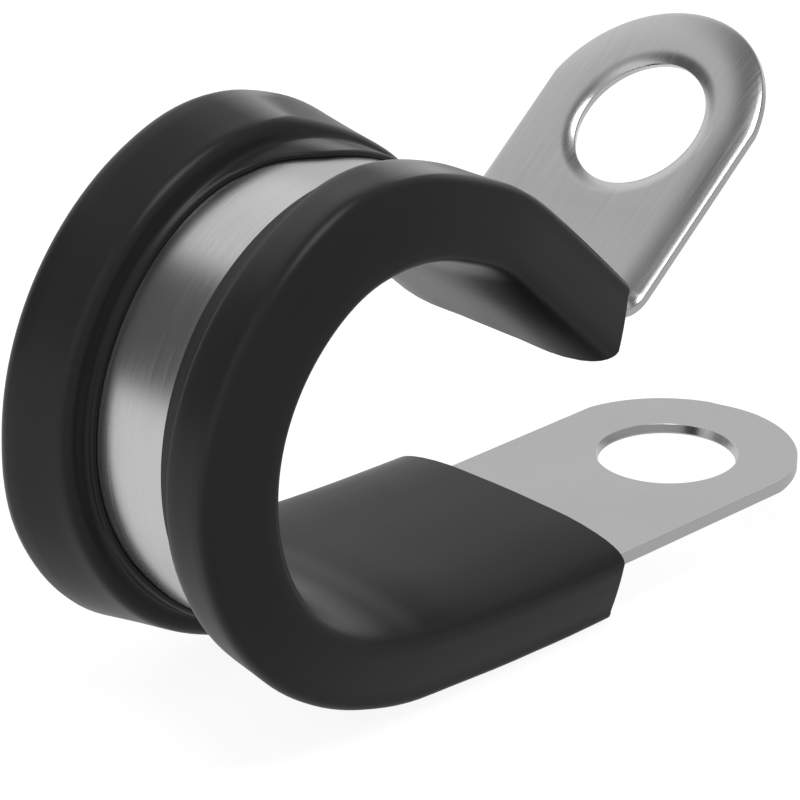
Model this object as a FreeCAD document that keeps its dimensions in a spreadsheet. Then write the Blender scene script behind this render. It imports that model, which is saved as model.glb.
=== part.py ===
import FreeCAD, Part
import math
import os

import Sketcher

# A pipe clip: a flat steel strip bent to a loop with two bolt tabs, and a rubber
# channel on the loop that holds a 26 mm pipe. Sizes are in millimetres and degrees.
# X runs from the loop to the bolt tabs, Y along the loop's axis to the back, Z up.
# The origin is on the loop's axis, at the middle of the strip's width.
# "Out" is the distance from that axis outwards, and "along" runs down the upper leg.

doc = FreeCAD.newDocument("clip")
sheet = doc.addObject("Spreadsheet::Sheet", "sizes")

START, END, CENTRE = range(1, 4)


class Size:
    """A number together with the formula on the sheet that gives it."""

    def __init__(self, value, formula):
        self.value = value
        self.formula = formula

    def __add__(self, other):
        other = as_size(other)
        return Size(self.value + other.value, f"({self.formula} + {other.formula})")

    def __sub__(self, other):
        other = as_size(other)
        return Size(self.value - other.value, f"({self.formula} - {other.formula})")

    def __mul__(self, other):
        other = as_size(other)
        return Size(self.value * other.value, f"({self.formula} * {other.formula})")

    def __truediv__(self, other):
        other = as_size(other)
        return Size(self.value / other.value, f"({self.formula} / {other.formula})")

    def __neg__(self):
        return Size(-self.value, f"(0 - {self.formula})")


def as_size(item):
    return item if isinstance(item, Size) else Size(float(item), repr(float(item)))


def sine(angle):
    return Size(math.sin(math.radians(angle.value)), f"sin({angle.formula} * 1 deg)")


def cosine(angle):
    return Size(math.cos(math.radians(angle.value)), f"cos({angle.formula} * 1 deg)")


def tangent_of(angle):
    return Size(math.tan(math.radians(angle.value)), f"tan({angle.formula} * 1 deg)")


def size(alias, value, note):
    row = size.row
    size.row += 1
    sheet.set(f"A{row}", note)
    sheet.set(f"B{row}", str(value))
    sheet.setAlias(f"B{row}", alias)
    return Size(value, f"sizes.{alias}")


size.row = 1

# The pipe, the strip and its bends
bundle_radius = size("bundle_radius", 12.9, "radius of the pipe in the loop")
liner_layer = size("liner_layer", 3.3, "rubber between the pipe and the strip")
band_width = size("band_width", 20.0, "width of the strip")
band_thick = size("band_thick", 1.0, "thickness of the strip")
leg_angle = size("leg_angle", 45.0, "where the upper leg leaves the loop, from X")
upper_leg_run = size("upper_leg_run", 12.4, "upper leg from the loop to the bend")
bend_radius = size("bend_radius", 1.2, "inside radius of the upper bend")
upper_tab_angle = size("upper_tab_angle", 39.5, "slope of the upper tab, from X")
edge_round = size("edge_round", 0.5, "rolled edge of the strip's outer face")

# Bolt holes and round tab ends
bolt_hole = size("bolt_hole", 10.5, "diameter of each bolt hole")
end_radius = size("end_radius", 10.2, "radius of the tab ends round the holes")
lower_hole_at = size("lower_hole_at", 37.0, "loop axis to the lower hole")
upper_hole_run = size("upper_hole_run", 13.5, "upper bend to the upper hole")
tab_stock = size("tab_stock", 1.5, "strip cut away past the tab ends")

# The rubber channel
side_wall = size("side_wall", 1.9, "rubber past the strip's edges, at the pad")
side_draw = size("side_draw", 1.4, "how much narrower the rubber is at its crests")
draw_from = size("draw_from", 1.4, "pad's side edge to the start of the narrowing")
liner_fit = size("liner_fit", 0.05, "gap between the rubber and the strip")
crest_height = size("crest_height", 2.8, "lips above the strip, on the loop")
upper_crest = size("upper_crest", 1.4, "lips above the strip, on the upper leg")
lower_crest = size("lower_crest", 3.4, "lips below the strip, on the lower leg")
upper_blend = size("upper_blend", 1.0, "loop crest radius less its upper blend radius")
lower_blend = size("lower_blend", 20.0, "lower blend radius less the loop crest radius")
inner_blend = size("inner_blend", 11.5, "lower inner blend radius less the pipe radius")
lower_layer = size("lower_layer", 2.6, "rubber on top of the lower leg")
crown_rise = size("crown_rise", 1.45, "how far the pad falls away at its sides")
crown_land = size("crown_land", 3.0, "straight middle part of the pad")
pad_stock = size("pad_stock", 0.7, "rubber cut away when the pad is crowned")
lower_end_at = size("lower_end_at", 19.55, "loop axis to the rubber's lower end")
lower_end_slant = size("lower_end_slant", 1.0, "slant of the lower end")
upper_end_at = size("upper_end_at", 11.75, "loop to the rubber's upper end")
upper_end_slant = size("upper_end_slant", 9.0, "slant of the upper end")

# The groove between the lips
foot_gap = size("foot_gap", 3.0, "half the bare strip between the lips")
foot_rise = size("foot_rise", 0.4, "height of the lips' thin edge")
crease_at = size("crease_at", 4.1, "middle to the crease in the lips")
crease_rise = size("crease_rise", 0.55, "height of the crease")
flank_at = size("flank_at", 5.5, "middle to the lips' crest")
groove_reach = size("groove_reach", 7.0, "height to which the groove is cut")

# Rounded edges of the rubber
crest_round = size("crest_round", 0.55, "edges of the lips' crests")
pad_round = size("pad_round", 0.5, "side edges of the pad")
nose_round = size("nose_round", 1.0, "upper end of the pad")

band_centre = bundle_radius + liner_layer + band_thick / 2
band_inner = bundle_radius + liner_layer
band_outer = bundle_radius + liner_layer + band_thick
bend_centre_radius = bend_radius + band_thick / 2
turn = as_size(90) - leg_angle + upper_tab_angle
leg_cos = cosine(leg_angle)
leg_sin = sine(leg_angle)
crest_radius = band_outer + crest_height
half_liner = band_width / 2 + side_wall


def point(x, y):
    return FreeCAD.Vector(x.value, y.value, 0)


def leg_x(out, along):
    """X of a place on the upper leg."""
    return out * leg_cos + along * leg_sin


def leg_z(out, along):
    """Z of a place on the upper leg."""
    return out * leg_sin - along * leg_cos


def origin_plane(body, role):
    for item in body.Origin.OriginFeatures:
        if item.Role == role:
            return item


def new_body(name):
    body = doc.addObject("PartDesign::Body", name)
    body.Label = name
    body.Placement = FreeCAD.Placement()
    return body


def new_sketch(body, name, role):
    sketch = body.newObject("Sketcher::SketchObject", name)
    sketch.AttachmentSupport = (origin_plane(body, role), [""])
    sketch.MapMode = "FlatFace"
    return sketch


def lift_sketch(sketch, height):
    """Raise a sketch off its plane."""
    sketch.AttachmentOffset = FreeCAD.Placement(
        FreeCAD.Vector(0, 0, height.value), FreeCAD.Rotation()
    )
    sketch.setExpression("AttachmentOffset.Base.z", height.formula)


def add_line(sketch, first, second):
    return sketch.addGeometry(Part.LineSegment(first, second), False)


def add_arc(sketch, middle, radius, first, last):
    circle = Part.Circle(middle, FreeCAD.Vector(0, 0, 1), radius)
    arc = Part.ArcOfCircle(circle, math.radians(first), math.radians(last))
    return sketch.addGeometry(arc, False)


def bind(sketch, constraint, formula):
    number = sketch.addConstraint(constraint)
    sketch.setExpression(f"Constraints[{number}]", formula)


def fix_distance(sketch, kind, geometry, place, length):
    """Hold a point at an X or Y distance from the sketch's origin."""
    if length.value < 0:
        rule = Sketcher.Constraint(kind, geometry, place, -1, 1, -length.value)
        bind(sketch, rule, (-length).formula)
    else:
        rule = Sketcher.Constraint(kind, -1, 1, geometry, place, length.value)
        bind(sketch, rule, length.formula)


def fix_x(sketch, geometry, place, length):
    fix_distance(sketch, "DistanceX", geometry, place, length)


def fix_y(sketch, geometry, place, length):
    fix_distance(sketch, "DistanceY", geometry, place, length)


def fix_radius(sketch, geometry, length):
    rule = Sketcher.Constraint("Radius", geometry, length.value)
    bind(sketch, rule, length.formula)


def fix_length(sketch, geometry, length):
    rule = Sketcher.Constraint("Distance", geometry, length.value)
    bind(sketch, rule, length.formula)


def fix_slope(sketch, geometry, angle):
    rule = Sketcher.Constraint("Angle", geometry, math.radians(angle.value))
    bind(sketch, rule, f"{angle.formula} * 1 deg")


def on_origin(sketch, geometry):
    sketch.addConstraint(Sketcher.Constraint("Coincident", geometry, CENTRE, -1, 1))


def smooth(sketch, first, first_end, second, second_end):
    sketch.addConstraint(Sketcher.Constraint("Tangent", first, first_end, second, second_end))


def meet(sketch, first, first_end, second, second_end):
    sketch.addConstraint(Sketcher.Constraint("Coincident", first, first_end, second, second_end))


def level(sketch, geometry):
    sketch.addConstraint(Sketcher.Constraint("Horizontal", geometry))


def upright(sketch, geometry):
    sketch.addConstraint(Sketcher.Constraint("Vertical", geometry))


def polygon(sketch, corners):
    """Draw a closed outline whose corners are pairs of sizes."""
    count = len(corners)
    for number in range(count):
        here = corners[number]
        there = corners[(number + 1) % count]
        add_line(sketch, point(*here), point(*there))
    for number in range(count):
        meet(sketch, number, END, (number + 1) % count, START)
        fix_x(sketch, number, START, corners[number][0])
        fix_y(sketch, number, START, corners[number][1])


def band_path(body, name, tabbed):
    """Draw the strip's middle line, with or without the upper tab."""
    sketch = new_sketch(body, name, "XZ_Plane")
    tip = lower_hole_at + end_radius + tab_stock
    zero = as_size(0)
    run = add_line(sketch, point(tip, -band_centre), point(zero, -band_centre))
    loop = add_arc(sketch, FreeCAD.Vector(), band_centre.value, leg_angle.value, 270)
    leg_start = point(leg_x(band_centre, zero), leg_z(band_centre, zero))
    leg_end = point(leg_x(band_centre, upper_leg_run), leg_z(band_centre, upper_leg_run))
    leg = add_line(sketch, leg_end, leg_start)
    smooth(sketch, run, END, loop, END)
    smooth(sketch, loop, START, leg, END)
    on_origin(sketch, loop)
    fix_radius(sketch, loop, band_centre)
    level(sketch, run)
    fix_x(sketch, run, START, tip)
    fix_slope(sketch, leg, leg_angle + 90)
    fix_length(sketch, leg, upper_leg_run)
    if tabbed:
        add_upper_tab(sketch, leg, leg_end)
    return sketch


def add_upper_tab(sketch, leg, leg_end):
    """Carry the strip's middle line round the bend and along the upper tab."""
    outwards = point(leg_cos, leg_sin)
    middle = leg_end + outwards * bend_centre_radius.value
    first = 180 + leg_angle.value
    bend = add_arc(sketch, middle, bend_centre_radius.value, first, first + turn.value)
    last = math.radians(first + turn.value)
    tab_start = middle + FreeCAD.Vector(math.cos(last), math.sin(last), 0) * bend_centre_radius.value
    slope = point(cosine(upper_tab_angle), sine(upper_tab_angle))
    reach = upper_hole_run + end_radius + tab_stock
    tab = add_line(sketch, tab_start, tab_start + slope * reach.value)
    smooth(sketch, leg, START, bend, START)
    smooth(sketch, bend, END, tab, START)
    fix_radius(sketch, bend, bend_centre_radius)
    fix_slope(sketch, tab, upper_tab_angle)
    fix_length(sketch, tab, reach)


def strip_section(body, name, play):
    """Draw the strip's section at the lower tab's tip, with play all round it."""
    sketch = new_sketch(body, name, "YZ_Plane")
    lift_sketch(sketch, lower_hole_at + end_radius + tab_stock)
    side = band_width / 2 + play
    top = -(band_inner - play)
    bottom = -(band_outer + play)
    polygon(sketch, [(-side, bottom), (side, bottom), (side, top), (-side, top)])
    return sketch


def sweep(body, kind, name, section, path):
    pipe = body.newObject(f"PartDesign::{kind}", name)
    pipe.Profile = (section, [""])
    pipe.Spine = (path, [""])
    pipe.Transition = "Transformed"
    doc.recompute()
    return pipe


def cut_through(body, name, sketch, depth):
    pocket = body.newObject("PartDesign::Pocket", name)
    pocket.Profile = (sketch, [""])
    pocket.SideType = "Symmetric"
    pocket.Length = depth.value
    pocket.setExpression("Length", depth.formula)
    doc.recompute()
    return pocket


def round_end(sketch):
    """Draw the waste round a tab's end, with the hole's middle at the origin."""
    side = band_width / 2 + tab_stock
    far = end_radius + tab_stock * 2
    zero = as_size(0)
    arc = add_arc(sketch, FreeCAD.Vector(), end_radius.value, -90, 90)
    above = add_line(sketch, point(zero, end_radius), point(zero, side))
    top = add_line(sketch, point(zero, side), point(far, side))
    front = add_line(sketch, point(far, side), point(far, -side))
    bottom = add_line(sketch, point(far, -side), point(zero, -side))
    below = add_line(sketch, point(zero, -side), point(zero, -end_radius))
    on_origin(sketch, arc)
    fix_radius(sketch, arc, end_radius)
    meet(sketch, arc, END, above, START)
    meet(sketch, above, END, top, START)
    meet(sketch, top, END, front, START)
    meet(sketch, front, END, bottom, START)
    meet(sketch, bottom, END, below, START)
    meet(sketch, below, END, arc, START)
    for line in (above, front, below):
        upright(sketch, line)
    for line in (top, bottom):
        level(sketch, line)
    sketch.addConstraint(Sketcher.Constraint("PointOnObject", arc, END, -2))
    sketch.addConstraint(Sketcher.Constraint("PointOnObject", arc, START, -2))
    fix_x(sketch, front, START, far)
    fix_y(sketch, front, START, side)
    fix_y(sketch, front, END, -side)


def hole_circle(sketch):
    """Draw a bolt hole with its middle at the origin."""
    circle = Part.Circle(FreeCAD.Vector(), FreeCAD.Vector(0, 0, 1), bolt_hole.value / 2)
    number = sketch.addGeometry(circle, False)
    on_origin(sketch, number)
    fix_radius(sketch, number, bolt_hole / 2)


def place_on_lower_tab(sketch):
    """Put a sketch's origin at the lower hole, in the middle of the strip."""
    sketch.AttachmentOffset = FreeCAD.Placement(
        FreeCAD.Vector(lower_hole_at.value, 0, -band_centre.value), FreeCAD.Rotation()
    )
    sketch.setExpression("AttachmentOffset.Base.x", lower_hole_at.formula)
    sketch.setExpression("AttachmentOffset.Base.z", (-band_centre).formula)


def place_on_upper_tab(sketch):
    """Put a sketch's origin at the upper hole, in the tab's own plane."""
    corner = bend_centre_radius * tangent_of(turn / 2)
    reach = corner + upper_hole_run
    along = upper_leg_run + corner
    x = leg_x(band_centre, along) + reach * cosine(upper_tab_angle)
    z = leg_z(band_centre, along) + reach * sine(upper_tab_angle)
    sketch.AttachmentOffset = FreeCAD.Placement(
        FreeCAD.Vector(x.value, 0, z.value),
        FreeCAD.Rotation(FreeCAD.Vector(0, -1, 0), upper_tab_angle.value),
    )
    sketch.setExpression("AttachmentOffset.Base.x", x.formula)
    sketch.setExpression("AttachmentOffset.Base.z", z.formula)
    sketch.setExpression("AttachmentOffset.Rotation.Angle", f"{upper_tab_angle.formula} * 1 deg")


def out_of(spot):
    """Distance from the loop's axis, or off it square to the legs."""
    along = spot.x * leg_sin.value - spot.z * leg_cos.value
    if spot.z < 0 and spot.x > 0 and spot.x > -spot.z * 0.02 and along > 0:
        if spot.z < -bundle_radius.value * 0.9:
            return -spot.z
    if along > 0:
        return spot.x * leg_cos.value + spot.z * leg_sin.value
    return math.hypot(spot.x, spot.z)


def edge_spots(edge):
    """Five places along an edge."""
    first, last = edge.ParameterRange
    return [edge.valueAt(first + (last - first) * step / 4) for step in range(5)]


def round_edges(body, name, before, wanted, radius):
    """Round those edges of a feature that a rule picks."""
    names = []
    for number, edge in enumerate(before.Shape.Edges):
        if wanted(edge_spots(edge)):
            names.append(f"Edge{number + 1}")
    fillet = body.newObject("PartDesign::Fillet", name)
    fillet.Base = (before, names)
    fillet.Radius = radius.value
    fillet.setExpression("Radius", radius.formula)
    doc.recompute()
    return fillet


def on_outer_face(spots):
    """Tell an edge on the strip's outer face, tabs and holes included."""
    gap = 0.02
    corner = bend_centre_radius.value * math.tan(math.radians(turn.value / 2))
    vertex = point(
        leg_x(band_centre, upper_leg_run + corner), leg_z(band_centre, upper_leg_run + corner)
    )
    rise = math.radians(upper_tab_angle.value)
    bend_middle = point(
        leg_x(band_outer + bend_radius, upper_leg_run), leg_z(band_outer + bend_radius, upper_leg_run)
    )
    for spot in spots:
        along = spot.x * leg_sin.value - spot.z * leg_cos.value
        out = spot.x * leg_cos.value + spot.z * leg_sin.value
        off_tab = -(spot.x - vertex.x) * math.sin(rise) + (spot.z - vertex.y) * math.cos(rise)
        off_bend = math.hypot(spot.x - bend_middle.x, spot.z - bend_middle.y)
        on_tab = abs(off_tab - band_thick.value / 2) < gap and spot.x > vertex.x
        on_bend = abs(off_bend - bend_radius.value) < gap
        on_leg = abs(out - band_outer.value) < gap and along > -gap
        on_loop = abs(math.hypot(spot.x, spot.z) - band_outer.value) < gap
        on_run = abs(spot.z + band_outer.value) < gap
        if not (on_tab or on_bend or on_leg or on_loop or on_run):
            return False
    return True


def make_band():
    """Build the steel strip."""
    body = new_body("steel_band")
    path = band_path(body, "strip_line", True)
    section = strip_section(body, "strip_section", as_size(0))
    sweep(body, "AdditivePipe", "bent_strip", section, path)
    depth = band_thick * 4
    for tab, place in (("lower", place_on_lower_tab), ("upper", place_on_upper_tab)):
        waste = new_sketch(body, f"{tab}_end_outline", "XY_Plane")
        place(waste)
        round_end(waste)
        cut_through(body, f"{tab}_round_end", waste, depth)
        circle = new_sketch(body, f"{tab}_hole_outline", "XY_Plane")
        place(circle)
        hole_circle(circle)
        last = cut_through(body, f"{tab}_bolt_hole", circle, depth)
    round_edges(body, "rolled_edges", last, on_outer_face, edge_round)
    return body


def liner_outline(body):
    """Draw the rubber's side outline: crests outside, uncrowned pad inside."""
    sketch = new_sketch(body, "liner_outline", "XZ_Plane")
    zero = as_size(0)
    crest = band_outer + upper_crest
    sole = band_outer + lower_crest
    pad = bundle_radius - pad_stock
    pad_floor = band_inner - lower_layer - pad_stock
    upper_slope = tangent_of(upper_end_slant)
    lower_slope = tangent_of(lower_end_slant)
    crest_along = upper_end_at - (crest - band_inner) * upper_slope
    pad_along = upper_end_at + (band_inner - pad) * upper_slope
    sole_end = lower_end_at - (sole - band_inner) * lower_slope
    floor_end = lower_end_at + (band_inner - pad_floor) * lower_slope

    upper_radius = crest_radius - upper_blend
    lower_radius = crest_radius + lower_blend
    inner_radius = pad + inner_blend
    first = leg_angle.value + math.degrees(
        math.acos((crest.value - upper_radius.value) / upper_blend.value)
    )
    second = 180 + math.degrees(
        math.asin((lower_radius.value - sole.value) / lower_blend.value)
    )
    third = 180 + math.degrees(
        math.asin((inner_radius.value - pad_floor.value) / inner_blend.value)
    )
    upper_middle = turned(upper_blend.value, first)
    lower_middle = turned(-lower_blend.value, second)
    inner_middle = turned(-inner_blend.value, third)

    crest_end = point(leg_x(crest, crest_along), leg_z(crest, crest_along))
    pad_end = point(leg_x(pad, pad_along), leg_z(pad, pad_along))
    pad_start = point(leg_x(pad, zero), leg_z(pad, zero))
    upper_foot = upper_middle + turned(upper_radius.value, leg_angle.value)
    sole_start = FreeCAD.Vector(lower_middle.x, -sole.value, 0)
    floor_start = FreeCAD.Vector(inner_middle.x, -pad_floor.value, 0)

    crest_line = add_line(sketch, crest_end, upper_foot)
    upper_arc = add_arc(sketch, upper_middle, upper_radius.value, leg_angle.value, first)
    crest_arc = add_arc(sketch, FreeCAD.Vector(), crest_radius.value, first, second)
    lower_arc = add_arc(sketch, lower_middle, lower_radius.value, second, 270)
    sole_line = add_line(sketch, sole_start, point(sole_end, -sole))
    lower_end = add_line(sketch, point(sole_end, -sole), point(floor_end, -pad_floor))
    floor_line = add_line(sketch, point(floor_end, -pad_floor), floor_start)
    inner_arc = add_arc(sketch, inner_middle, inner_radius.value, third, 270)
    pad_arc = add_arc(sketch, FreeCAD.Vector(), pad.value, leg_angle.value, third)
    pad_line = add_line(sketch, pad_end, pad_start)
    upper_end = add_line(sketch, pad_end, crest_end)

    smooth(sketch, crest_line, END, upper_arc, START)
    smooth(sketch, upper_arc, END, crest_arc, START)
    smooth(sketch, crest_arc, END, lower_arc, START)
    smooth(sketch, lower_arc, END, sole_line, START)
    meet(sketch, sole_line, END, lower_end, START)
    meet(sketch, lower_end, END, floor_line, START)
    smooth(sketch, floor_line, END, inner_arc, END)
    smooth(sketch, inner_arc, START, pad_arc, END)
    smooth(sketch, pad_arc, START, pad_line, END)
    meet(sketch, pad_line, START, upper_end, START)
    meet(sketch, upper_end, END, crest_line, START)
    on_origin(sketch, crest_arc)
    on_origin(sketch, pad_arc)
    fix_radius(sketch, upper_arc, upper_radius)
    fix_radius(sketch, crest_arc, crest_radius)
    fix_radius(sketch, lower_arc, lower_radius)
    fix_radius(sketch, inner_arc, inner_radius)
    fix_radius(sketch, pad_arc, pad)
    level(sketch, sole_line)
    level(sketch, floor_line)
    fix_slope(sketch, crest_line, leg_angle + 90)
    fix_slope(sketch, pad_line, leg_angle + 90)
    rule = Sketcher.Constraint("Distance", -1, 1, crest_line, crest.value)
    bind(sketch, rule, crest.formula)
    fix_x(sketch, crest_line, START, leg_x(crest, crest_along))
    fix_x(sketch, pad_line, START, leg_x(pad, pad_along))
    fix_x(sketch, sole_line, END, sole_end)
    fix_y(sketch, sole_line, END, -sole)
    fix_x(sketch, floor_line, START, floor_end)
    fix_y(sketch, floor_line, START, -pad_floor)
    return sketch


def turned(radius, angle):
    """A vector of a length at an angle from X."""
    angle = math.radians(angle)
    return FreeCAD.Vector(radius * math.cos(angle), radius * math.sin(angle), 0)


def pad_path(body):
    """Draw the line that the middle of the rubber's crowned pad follows."""
    sketch = new_sketch(body, "pad_line", "XZ_Plane")
    zero = as_size(0)
    pad_floor = band_inner - lower_layer
    start = lower_end_at + lower_end_at / 8
    along = upper_end_at + liner_layer + side_wall
    inner_radius = bundle_radius + inner_blend
    third = 180 + math.degrees(
        math.asin((inner_radius.value - pad_floor.value) / inner_blend.value)
    )
    inner_middle = turned(-inner_blend.value, third)
    floor_end = FreeCAD.Vector(inner_middle.x, -pad_floor.value, 0)
    leg_start = point(leg_x(bundle_radius, zero), leg_z(bundle_radius, zero))
    leg_end = point(leg_x(bundle_radius, along), leg_z(bundle_radius, along))
    floor_line = add_line(sketch, point(start, -pad_floor), floor_end)
    inner_arc = add_arc(sketch, inner_middle, inner_radius.value, third, 270)
    pad_arc = add_arc(sketch, FreeCAD.Vector(), bundle_radius.value, leg_angle.value, third)
    leg = add_line(sketch, leg_end, leg_start)
    smooth(sketch, floor_line, END, inner_arc, END)
    smooth(sketch, inner_arc, START, pad_arc, END)
    smooth(sketch, pad_arc, START, leg, END)
    on_origin(sketch, pad_arc)
    fix_radius(sketch, inner_arc, inner_radius)
    fix_radius(sketch, pad_arc, bundle_radius)
    level(sketch, floor_line)
    fix_x(sketch, floor_line, START, start)
    fix_y(sketch, floor_line, START, -pad_floor)
    fix_slope(sketch, leg, leg_angle + 90)
    fix_length(sketch, leg, along)
    return sketch


def crown_section(body):
    """Draw the space over the pad, which falls away at both sides of its middle."""
    sketch = new_sketch(body, "crown_section", "YZ_Plane")
    lift_sketch(sketch, lower_end_at + lower_end_at / 8)
    half_land = crown_land / 2
    floor = -(band_inner - lower_layer)
    reach = half_liner + side_wall
    fall = half_liner - half_land
    radius = (fall * fall + crown_rise * crown_rise) / (crown_rise * 2)
    top = floor + pad_stock * 3
    swing = math.degrees(math.asin((reach.value - half_land.value) / radius.value))
    drop = radius.value * (1 - math.cos(math.radians(swing)))
    low = FreeCAD.Vector(reach.value, floor.value - drop, 0)
    far = FreeCAD.Vector(-reach.value, floor.value - drop, 0)
    left = FreeCAD.Vector(-half_land.value, floor.value - radius.value, 0)
    right = FreeCAD.Vector(half_land.value, floor.value - radius.value, 0)
    land = add_line(sketch, point(-half_land, floor), point(half_land, floor))
    right_arc = add_arc(sketch, right, radius.value, 90 - swing, 90)
    right_wall = add_line(sketch, low, point(reach, top))
    roof = add_line(sketch, point(reach, top), point(-reach, top))
    left_wall = add_line(sketch, point(-reach, top), far)
    left_arc = add_arc(sketch, left, radius.value, 90, 90 + swing)
    smooth(sketch, land, END, right_arc, END)
    smooth(sketch, land, START, left_arc, START)
    meet(sketch, right_arc, START, right_wall, START)
    meet(sketch, right_wall, END, roof, START)
    meet(sketch, roof, END, left_wall, START)
    meet(sketch, left_wall, END, left_arc, END)
    level(sketch, land)
    level(sketch, roof)
    upright(sketch, right_wall)
    upright(sketch, left_wall)
    fix_radius(sketch, right_arc, radius)
    fix_radius(sketch, left_arc, radius)
    fix_x(sketch, land, START, -half_land)
    fix_x(sketch, land, END, half_land)
    fix_y(sketch, land, START, floor)
    fix_x(sketch, roof, START, reach)
    fix_x(sketch, roof, END, -reach)
    fix_y(sketch, roof, START, top)
    return sketch


def groove_section(body):
    """Draw the groove between the lips, open towards the strip."""
    sketch = new_sketch(body, "groove_section", "YZ_Plane")
    lift_sketch(sketch, lower_hole_at + end_radius + tab_stock)
    spread = (flank_at - crease_at) / (crest_height - crease_rise)
    mouth = crease_at + spread * (groove_reach - crease_rise)
    inside = -(band_outer - band_thick / 4)
    foot = -(band_outer + foot_rise)
    crease = -(band_outer + crease_rise)
    below = -(band_outer + groove_reach)
    corners = [
        (foot_gap, inside),
        (foot_gap, foot),
        (crease_at, crease),
        (mouth, below),
        (-mouth, below),
        (-crease_at, crease),
        (-foot_gap, foot),
        (-foot_gap, inside),
    ]
    polygon(sketch, corners)
    return sketch


def draw_section(body, side):
    """Draw the rubber that one side face loses towards its crest."""
    name = "front" if side.value < 0 else "back"
    sketch = new_sketch(body, f"{name}_draw_section", "YZ_Plane")
    lift_sketch(sketch, lower_hole_at + end_radius + tab_stock)
    start = bundle_radius + crown_rise + draw_from
    slope = side_draw / (crest_radius - start)
    above = start - draw_from
    below = band_outer + groove_reach
    upper_edge = (half_liner + slope * draw_from) * side
    lower_edge = (half_liner - slope * (below - start)) * side
    reach = (half_liner + side_wall) * side
    corners = [(upper_edge, -above), (reach, -above), (reach, -below), (lower_edge, -below)]
    polygon(sketch, corners)
    return sketch


def along_side(spots):
    """Tell an edge that lies in one of the rubber's two side faces."""
    return all(abs(abs(spot.y) - half_liner.value) < 0.02 for spot in spots)


def crest_edge(spots):
    """Tell an edge that runs along a lip's crest."""
    limit = band_outer.value + min(upper_crest.value, crest_height.value) * 0.7
    high = all(out_of(spot) > limit for spot in spots)
    wide = all(abs(spot.y) > crease_at.value for spot in spots)
    length = sum((spots[n + 1] - spots[n]).Length for n in range(4))
    across = abs(spots[4].y - spots[0].y)
    return high and wide and across < length * 0.5


def pad_side_edge(spots):
    """Tell an edge between the pad and a side face."""
    limit = bundle_radius.value + crown_rise.value * 1.2
    floor = -(band_inner.value - lower_layer.value) - crown_rise.value * 1.2
    low = all(out_of(spot) < limit or (floor < spot.z < 0 and spot.x > 0) for spot in spots)
    return low and along_side(spots)


def nose_edge(spots):
    """Tell an edge between the pad and the rubber's upper end."""
    limit = bundle_radius.value + crown_rise.value * 1.2
    for spot in spots:
        along = spot.x * leg_sin.value - spot.z * leg_cos.value
        if along < upper_end_at.value or spot.z < 0 or out_of(spot) > limit:
            return False
    return abs(spots[4].y - spots[0].y) > crown_rise.value


def make_liner():
    """Build the rubber channel."""
    body = new_body("rubber_liner")
    outline = liner_outline(body)
    block = body.newObject("PartDesign::Pad", "liner_block")
    block.Profile = (outline, [""])
    block.SideType = "Symmetric"
    block.Length = half_liner.value * 2
    block.setExpression("Length", (half_liner * 2).formula)
    doc.recompute()
    for side, name in ((as_size(1), "back"), (as_size(-1), "front")):
        draw_line = band_path(body, f"{name}_draw_line", False)
        draw = draw_section(body, side)
        sweep(body, "SubtractivePipe", f"{name}_draw", draw, draw_line)
    crown_line = pad_path(body)
    crown = crown_section(body)
    sweep(body, "SubtractivePipe", "crowned_pad", crown, crown_line)
    groove_line = band_path(body, "groove_line", False)
    groove = groove_section(body)
    sweep(body, "SubtractivePipe", "lip_groove", groove, groove_line)
    slot_line = band_path(body, "slot_line", True)
    slot = strip_section(body, "slot_section", liner_fit)
    last = sweep(body, "SubtractivePipe", "strip_slot", slot, slot_line)
    last = round_edges(body, "soft_crests", last, crest_edge, crest_round)
    last = round_edges(body, "soft_nose", last, nose_edge, nose_round)
    round_edges(body, "soft_pad_sides", last, pad_side_edge, pad_round)
    return body


def report_faults():
    """Stop if a feature failed or a shape is broken."""
    for item in doc.Objects:
        if "Invalid" in item.State or "Error" in item.State:
            raise RuntimeError(f"{item.Name} did not build: {item.State}")
        shape = getattr(item, "Shape", None)
        if item.TypeId.startswith("PartDesign::") and item.TypeId != "PartDesign::Body":
            if shape is None or shape.isNull() or not shape.isValid():
                raise RuntimeError(f"{item.Name} has a broken shape")


band = make_band()
liner = make_liner()
doc.recompute()
report_faults()
os.makedirs("parts", exist_ok=True)
for piece in (band, liner):
    box = piece.Shape.BoundBox
    print(piece.Label, round(piece.Shape.Volume, 1), len(piece.Shape.Solids), len(piece.Shape.Faces))
    print(round(box.XMin, 2), round(box.XMax, 2), round(box.YMin, 2), round(box.YMax, 2))
    print(round(box.ZMin, 2), round(box.ZMax, 2))
    piece.Shape.exportStep(f"parts/{piece.Label}.step")
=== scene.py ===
"""Looks of a rubber-lined pipe clip: a bent steel strip and the rubber channel on its loop."""

import logging
import math
from dataclasses import dataclass, field, replace
from enum import Enum
from typing import Any

import bmesh
import bpy
from mathutils import Matrix, Vector

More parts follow.
